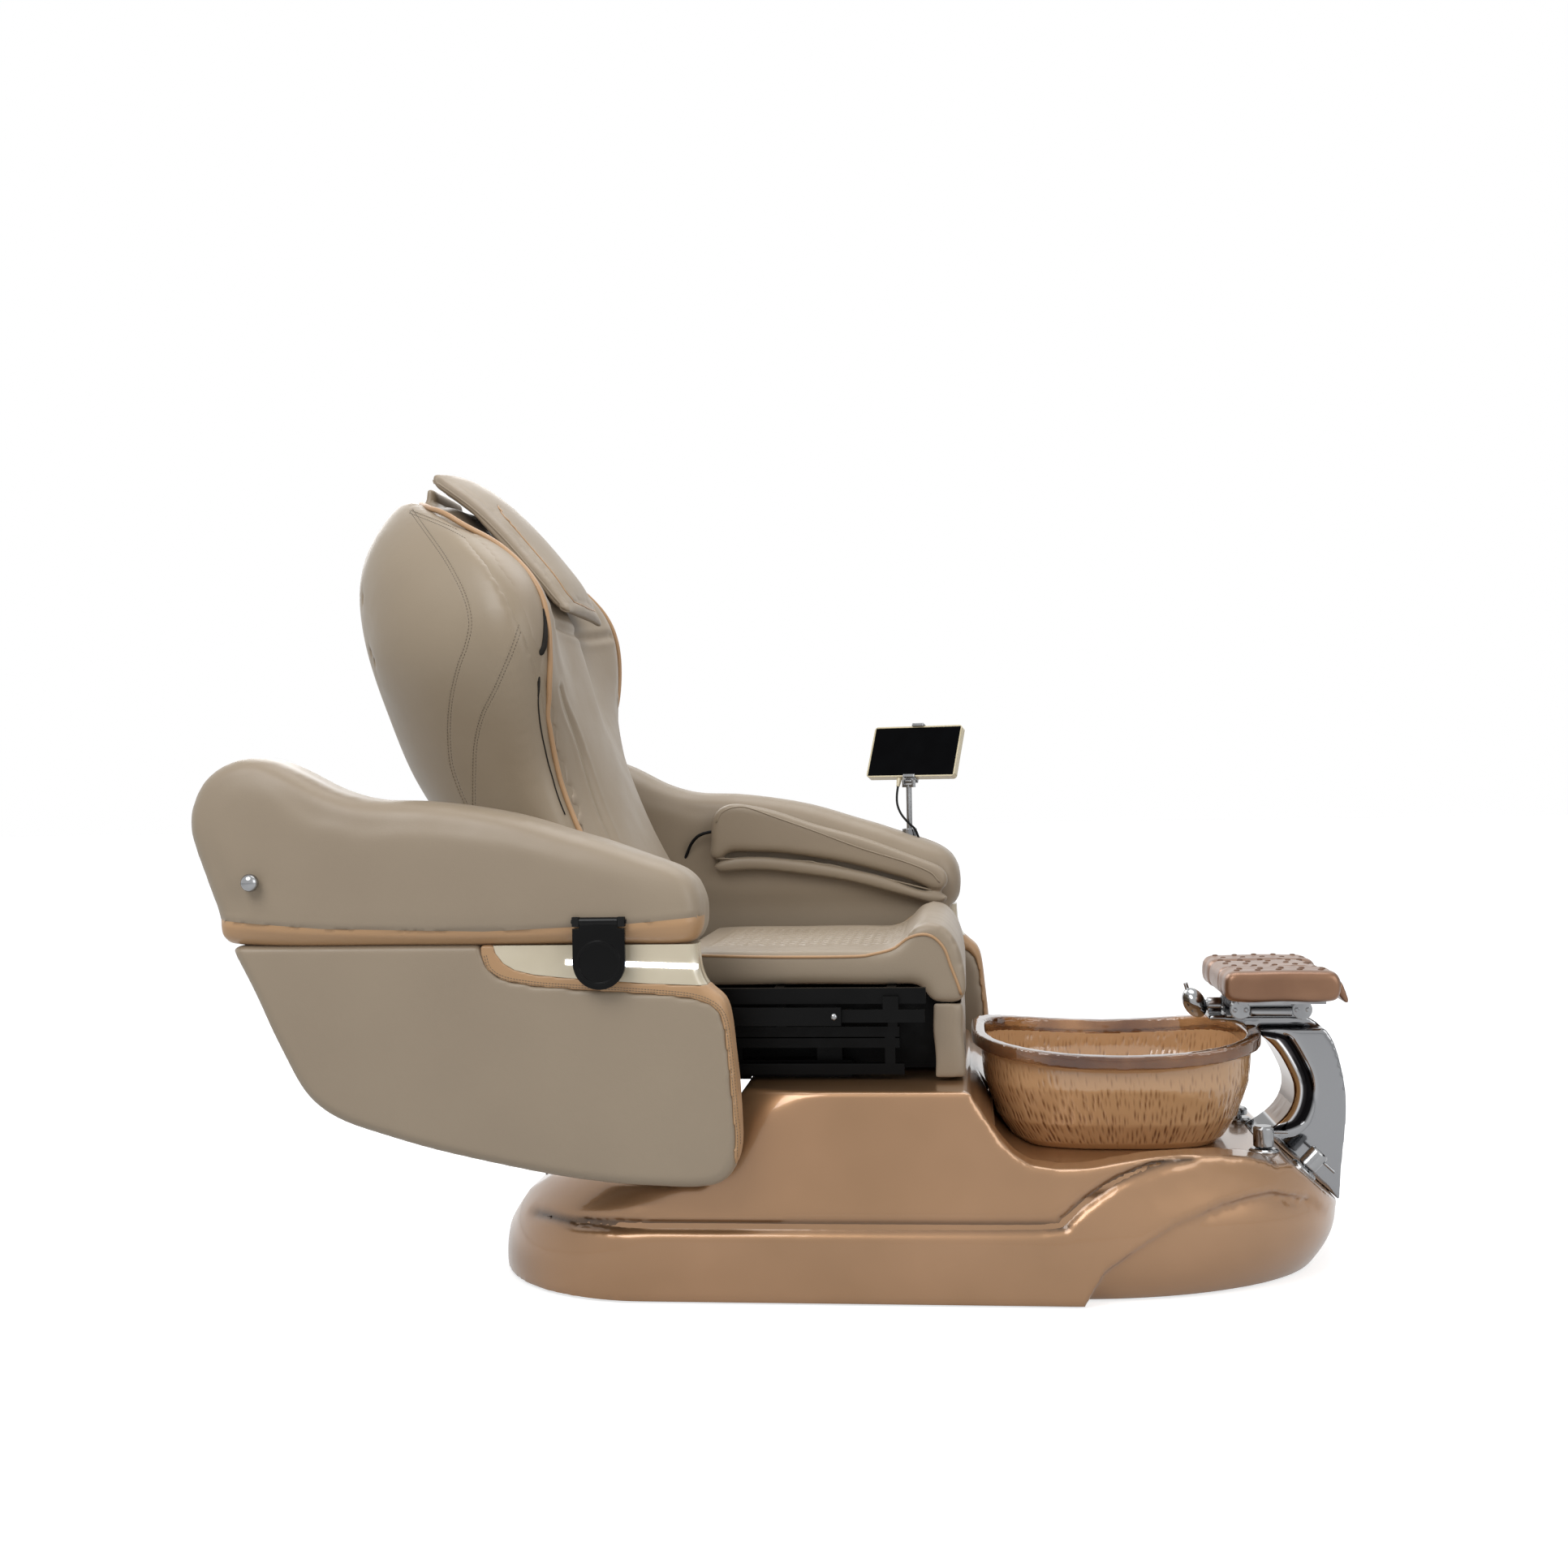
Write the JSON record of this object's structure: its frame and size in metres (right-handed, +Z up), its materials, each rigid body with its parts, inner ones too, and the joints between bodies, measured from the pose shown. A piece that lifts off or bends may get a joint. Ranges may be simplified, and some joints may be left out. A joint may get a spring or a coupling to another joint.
{
  "type": "pedicure spa chair",
  "caption": "Reclining spa chair with sliding padded arms, quilted seat, glass foot bowl, curved chrome column, footrest and fold-out accessories on a moulded base.",
  "frame": {"origin": "on the floor below the middle foot of the base frame, on the base's symmetry plane", "axes": "+X from the seat to the foot bowl, +Y to the sitter's left, +Z up"},
  "size_m": [1.7962, 0.98, 1.3246],
  "materials": {
    "shell": "glossy pearl rose gold",
    "black_plastic": "matt black",
    "black_metal": "black powder coat",
    "foot_rubber": "black rubber",
    "bowl_glass": "hammered amber glass with a clear rim",
    "chrome": "polished",
    "footrest_skin": "satin rose gold with raised dots",
    "taupe_leather": "soft taupe leather",
    "gold_leather": "gold trim leather with double stitching",
    "cream_panel": "glossy cream",
    "light": "lit diffuser",
    "champagne": "champagne",
    "tray_skin": "satin taupe",
    "dark_glass": "glossy black",
    "steel": "brushed"
  },
  "bodies": {
    "base": {"base_shell": "shell", "rear_vent_panel": "black_plastic", "base_frame": "black_metal", "levelling_feet": "foot_rubber", "seat_rails": "black_metal", "slide_actuator": "black_plastic", "foot_bowl": "bowl_glass", "bowl_drain": "chrome", "jet_housing": "chrome", "column": "chrome", "footrest_bracket": "chrome", "bracket_discs": "chrome", "sprayer_dock": "chrome", "valve_bodies": "chrome"},
    "stopper": {"drain_stopper": "chrome"},
    "impeller": {"jet_impeller": "black_plastic"},
    "footrest": {"footrest_plate": "steel", "footrest_pads": "footrest_skin"},
    "sprayer": {"sprayer": "chrome"},
    "mixer": {"mixer_handle": "chrome"},
    "diverter": {"diverter_handle": "chrome"},
    "button": {"jet_button": "chrome"},
    "chair": {"carriage": "black_metal", "seat_frame": "black_metal", "arm_rails_fixed": "steel", "seat_cushion": "taupe_leather", "apron": "taupe_leather", "recline_motor": "black_plastic"},
    "right_rail": {"arm_rail_right": "steel"},
    "left_rail": {"arm_rail_left": "steel"},
    "right_arm": {"arm_frame_right": "black_metal", "arm_upper_right": "taupe_leather", "arm_lower_right": "taupe_leather", "arm_trim_right": "gold_leather", "arm_insert_right": "cream_panel", "arm_light_right": "light", "sleeve_pads_right": "taupe_leather", "coat_hook_right": "chrome", "cup_bracket": "steel"},
    "left_arm": {"arm_frame_left": "black_metal", "arm_upper_left": "taupe_leather", "arm_lower_left": "taupe_leather", "arm_trim_left": "gold_leather", "arm_insert_left": "cream_panel", "arm_light_left": "light", "sleeve_pads_left": "taupe_leather", "coat_hook_left": "chrome", "tablet_collar": "chrome", "sleeve_hose": "black_plastic", "tablet_cord": "black_plastic"},
    "tablet": {"tablet_post": "chrome", "tablet_clip": "chrome", "tablet_case": "champagne", "tablet_screen": "dark_glass"},
    "cup": {"cup_tray": "tray_skin"},
    "backrest": {"back_frame": "black_metal", "back_shell": "taupe_leather", "back_pad": "taupe_leather"},
    "massage": {"massage_carriage": "black_metal"},
    "pillow": {"pillow": "taupe_leather"}
  },
  "joints": [
    {"name": "seat_slide", "type": "slide", "parent": "base", "child": "chair", "axis": [1, 0, 0], "range_m": [-0.1, 0]},
    {"name": "backrest_recline", "type": "hinge", "parent": "chair", "child": "backrest", "pos_m": [-0.388, 0, 0.436], "axis": [0, -1, 0], "range_deg": [0, 13]},
    {"name": "right_arm_slide", "type": "slide", "parent": "chair", "child": "right_arm", "axis": [1, 0, 0], "range_m": [0, 0.38]},
    {"name": "left_arm_slide", "type": "slide", "parent": "chair", "child": "left_arm", "axis": [1, 0, 0], "range_m": [-0.38, 0]},
    {"name": "right_rail_slide", "type": "slide", "parent": "chair", "child": "right_rail", "axis": [1, 0, 0], "range_m": [0, 0.19]},
    {"name": "left_rail_slide", "type": "slide", "parent": "chair", "child": "left_rail", "axis": [1, 0, 0], "range_m": [-0.19, 0]},
    {"name": "pillow_flap", "type": "hinge", "parent": "backrest", "child": "pillow", "pos_m": [-0.785, 0, 1.29], "axis": [0, -1, 0], "range_deg": [0, 85]},
    {"name": "massage_travel", "type": "slide", "parent": "backrest", "child": "massage", "axis": [-0.3955, 0, 0.9184], "range_m": [0, 0.32]},
    {"name": "cup_tray_fold", "type": "hinge", "parent": "right_arm", "child": "cup", "pos_m": [-0.438, -0.47, 0.581], "axis": [-1, 0, 0], "range_deg": [0, 90]},
    {"name": "tablet_swivel", "type": "hinge", "parent": "left_arm", "child": "tablet", "pos_m": [-0.005, 0.396, 0.7], "axis": [0, 0, 1], "range_deg": [-40, 40]},
    {"name": "footrest_tilt", "type": "hinge", "parent": "base", "child": "footrest", "pos_m": [0.545, 0, 0.397], "axis": [0, -1, 0], "range_deg": [0, 20]},
    {"name": "sprayer_pull", "type": "slide", "parent": "base", "child": "sprayer", "axis": [-1, 0, 0], "range_m": [0, 0.12]},
    {"name": "mixer_turn", "type": "hinge", "parent": "base", "child": "mixer", "pos_m": [0.562, -0.17, 0.2], "axis": [0, 0, 1], "range_deg": [0, 90]},
    {"name": "diverter_turn", "type": "hinge", "parent": "base", "child": "diverter", "pos_m": [0.626, -0.15, 0.15262], "axis": [0.6799, 0, 0.7333], "range_deg": [0, 90]},
    {"name": "button_press", "type": "slide", "parent": "base", "child": "button", "axis": [0, 0, -1], "range_m": [0, 0.004], "stiffness_N_per_m": 900, "springref_m": -0.003},
    {"name": "stopper_lift", "type": "slide", "parent": "base", "child": "stopper", "axis": [0, 0, 1], "range_m": [0, 0.01]},
    {"name": "impeller_spin", "type": "hinge", "parent": "base", "child": "impeller", "pos_m": [0.14, 0, 0.252], "axis": [1, 0, 0], "continuous": true}
  ],
  "couplings": [
    {"joint": "right_rail_slide", "follows": "right_arm_slide", "ratio": 0.5},
    {"joint": "left_rail_slide", "follows": "left_arm_slide", "ratio": 0.5}
  ]
}
